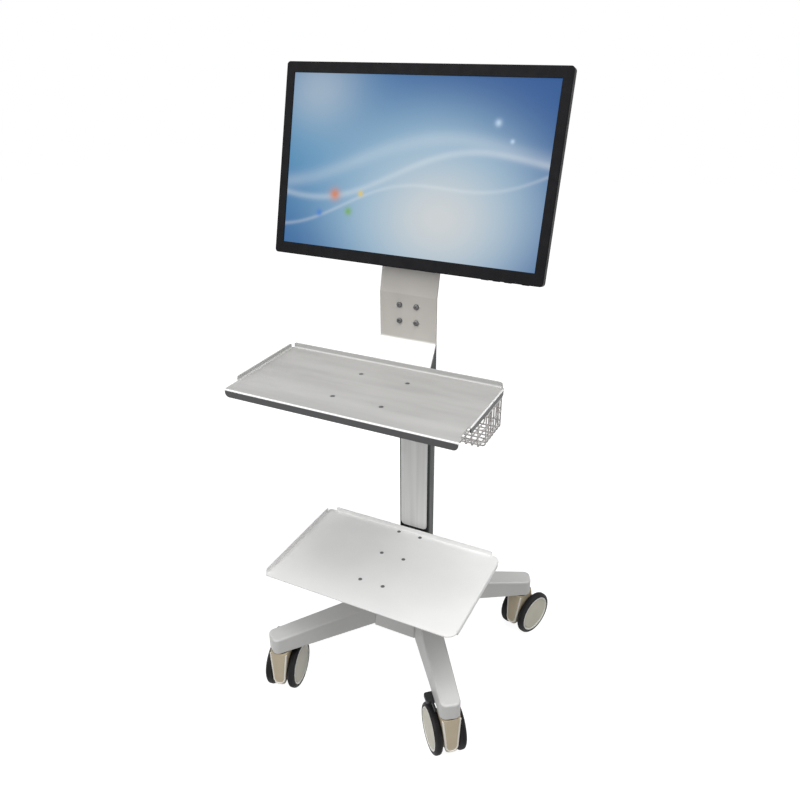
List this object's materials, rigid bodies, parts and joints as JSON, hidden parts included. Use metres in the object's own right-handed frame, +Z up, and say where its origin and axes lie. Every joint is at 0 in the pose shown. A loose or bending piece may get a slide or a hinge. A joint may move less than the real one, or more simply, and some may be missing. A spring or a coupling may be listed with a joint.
{
  "type": "ultrasound machine",
  "caption": "Rolling medical imaging cart with a tilted flat display on a folded bracket, two sheet-metal trays, a rear wire basket, one column and a legged base on twin-wheel casters.",
  "frame": {"origin": "middle of the footprint box, on the floor", "axes": "+X to the right of a person facing the display, -Y towards that person, +Z up"},
  "size_m": [0.5192, 0.5108, 1.2264],
  "materials": {
    "base_paint": "satin powder coat on cast aluminium",
    "column_aluminium": "anodised",
    "panel_paint": "satin",
    "upper_tray_paint": "satin metallic",
    "lower_tray_paint": "smooth powder coat",
    "bracket_paint": "powder coat",
    "basket_coating": "plastic-coated wire",
    "tyre": "matte",
    "wheel_plastic": "satin moulded",
    "caster_plastic": "satin moulded",
    "dark_plastic": "matte",
    "plated_steel": "zinc plated",
    "dark_steel": "blackened",
    "display_plastic": "satin black moulded",
    "screen": "semi-gloss, lit",
    "chassis_steel": "zinc plated",
    "circuit_board": "solder mask"
  },
  "bodies": {
    "cart": {"base_casting": "base_paint", "base_bottom_cover": "dark_plastic", "base_cover_screws": "dark_steel", "column_bolts": "plated_steel", "caster_stems": "plated_steel", "column": "column_aluminium", "column_front_panel": "panel_paint", "column_cap": "dark_plastic", "nut_plate": "plated_steel", "neck_post": "column_aluminium", "post_screws": "plated_steel", "upper_tray": "upper_tray_paint", "upper_tray_screws": "dark_steel", "lower_tray": "lower_tray_paint", "lower_tray_screws": "dark_steel", "lower_bracket": "bracket_paint", "lower_bracket_bolts": "plated_steel", "display_bracket": "bracket_paint", "wire_basket": "basket_coating", "basket_bracket": "bracket_paint", "basket_screws": "plated_steel", "display_bezel": "display_plastic", "screen_panel": "screen", "panel_chassis": "chassis_steel", "main_board": "circuit_board", "power_board": "circuit_board", "display_rear_cover": "display_plastic", "power_inlet": "dark_plastic", "video_socket": "dark_plastic", "vesa_screws": "plated_steel"},
    "front_right_caster": {"front_right_caster_housing": "caster_plastic", "front_right_caster_axle": "plated_steel"},
    "front_right_left_wheel_body": {"front_right_left_tyre": "tyre", "front_right_left_wheel": "wheel_plastic"},
    "front_right_right_wheel_body": {"front_right_right_tyre": "tyre", "front_right_right_wheel": "wheel_plastic"},
    "front_right_pedal_body": {"front_right_brake_pedal": "dark_plastic"},
    "front_left_caster": {"front_left_caster_housing": "caster_plastic", "front_left_caster_axle": "plated_steel"},
    "front_left_left_wheel_body": {"front_left_left_tyre": "tyre", "front_left_left_wheel": "wheel_plastic"},
    "front_left_right_wheel_body": {"front_left_right_tyre": "tyre", "front_left_right_wheel": "wheel_plastic"},
    "front_left_pedal_body": {"front_left_brake_pedal": "dark_plastic"},
    "rear_right_caster": {"rear_right_caster_housing": "caster_plastic", "rear_right_caster_axle": "plated_steel"},
    "rear_right_left_wheel_body": {"rear_right_left_tyre": "tyre", "rear_right_left_wheel": "wheel_plastic"},
    "rear_right_right_wheel_body": {"rear_right_right_tyre": "tyre", "rear_right_right_wheel": "wheel_plastic"},
    "rear_left_caster": {"rear_left_caster_housing": "caster_plastic", "rear_left_caster_axle": "plated_steel"},
    "rear_left_left_wheel_body": {"rear_left_left_tyre": "tyre", "rear_left_left_wheel": "wheel_plastic"},
    "rear_left_right_wheel_body": {"rear_left_right_tyre": "tyre", "rear_left_right_wheel": "wheel_plastic"},
    "power_key_body": {"power_key": "display_plastic"},
    "menu_key_1_body": {"menu_key_1": "display_plastic"},
    "menu_key_2_body": {"menu_key_2": "display_plastic"},
    "menu_key_3_body": {"menu_key_3": "display_plastic"}
  },
  "joints": [
    {"name": "front_right_swivel", "type": "hinge", "parent": "cart", "child": "front_right_caster", "pos_m": [0.1907, -0.2124, 0.11696], "axis": [0, 0, 1], "continuous": true},
    {"name": "front_right_left_wheel_spin", "type": "hinge", "parent": "front_right_caster", "child": "front_right_left_wheel_body", "pos_m": [0.15634, -0.21008, 0.05], "axis": [0.749, 0.6626, 0], "continuous": true},
    {"name": "front_right_right_wheel_spin", "type": "hinge", "parent": "front_right_caster", "child": "front_right_right_wheel_body", "pos_m": [0.19259, -0.17801, 0.05], "axis": [0.749, 0.6626, 0], "continuous": true},
    {"name": "front_right_brake", "type": "hinge", "parent": "front_right_caster", "child": "front_right_pedal_body", "pos_m": [0.17943, -0.19967, 0.10756], "axis": [-0.749, -0.6626, 0], "range_deg": [0, 12]},
    {"name": "front_left_swivel", "type": "hinge", "parent": "cart", "child": "front_left_caster", "pos_m": [-0.18931, -0.2124, 0.11696], "axis": [0, 0, 1], "continuous": true},
    {"name": "front_left_left_wheel_spin", "type": "hinge", "parent": "front_left_caster", "child": "front_left_left_wheel_body", "pos_m": [-0.218, -0.19336, 0.05], "axis": [0.9789, 0.2045, 0], "continuous": true},
    {"name": "front_left_right_wheel_spin", "type": "hinge", "parent": "front_left_caster", "child": "front_left_right_wheel_body", "pos_m": [-0.17063, -0.18347, 0.05], "axis": [0.9789, 0.2045, 0], "continuous": true},
    {"name": "front_left_brake", "type": "hinge", "parent": "front_left_caster", "child": "front_left_pedal_body", "pos_m": [-0.19278, -0.19576, 0.10756], "axis": [-0.9789, -0.2045, 0], "range_deg": [0, 12]},
    {"name": "rear_right_swivel", "type": "hinge", "parent": "cart", "child": "rear_right_caster", "pos_m": [0.20469, 0.1761, 0.11696], "axis": [0, 0, 1], "continuous": true},
    {"name": "rear_right_left_wheel_spin", "type": "hinge", "parent": "rear_right_caster", "child": "rear_right_left_wheel_body", "pos_m": [0.19099, 0.2077, 0.05], "axis": [0.9323, -0.3616, 0], "continuous": true},
    {"name": "rear_right_right_wheel_spin", "type": "hinge", "parent": "rear_right_caster", "child": "rear_right_right_wheel_body", "pos_m": [0.23612, 0.19019, 0.05], "axis": [0.9323, -0.3616, 0], "continuous": true},
    {"name": "rear_left_swivel", "type": "hinge", "parent": "cart", "child": "rear_left_caster", "pos_m": [-0.20331, 0.1761, 0.11696], "axis": [0, 0, 1], "continuous": true},
    {"name": "rear_left_left_wheel_spin", "type": "hinge", "parent": "rear_left_caster", "child": "rear_left_left_wheel_body", "pos_m": [-0.22528, 0.20262, 0.05], "axis": [0.9962, -0.0872, 0], "continuous": true},
    {"name": "rear_left_right_wheel_spin", "type": "hinge", "parent": "rear_left_caster", "child": "rear_left_right_wheel_body", "pos_m": [-0.17706, 0.1984, 0.05], "axis": [0.9962, -0.0872, 0], "continuous": true},
    {"name": "power_key_press", "type": "slide", "parent": "cart", "child": "power_key_body", "axis": [0, 0.2465, 0.9691], "range_m": [0, 0.0008], "stiffness_N_per_m": 500, "springref_m": -0.0005},
    {"name": "menu_key_1_press", "type": "slide", "parent": "cart", "child": "menu_key_1_body", "axis": [0, 0.2465, 0.9691], "range_m": [0, 0.0008], "stiffness_N_per_m": 500, "springref_m": -0.0005},
    {"name": "menu_key_2_press", "type": "slide", "parent": "cart", "child": "menu_key_2_body", "axis": [0, 0.2465, 0.9691], "range_m": [0, 0.0008], "stiffness_N_per_m": 500, "springref_m": -0.0005},
    {"name": "menu_key_3_press", "type": "slide", "parent": "cart", "child": "menu_key_3_body", "axis": [0, 0.2465, 0.9691], "range_m": [0, 0.0008], "stiffness_N_per_m": 500, "springref_m": -0.0005}
  ]
}
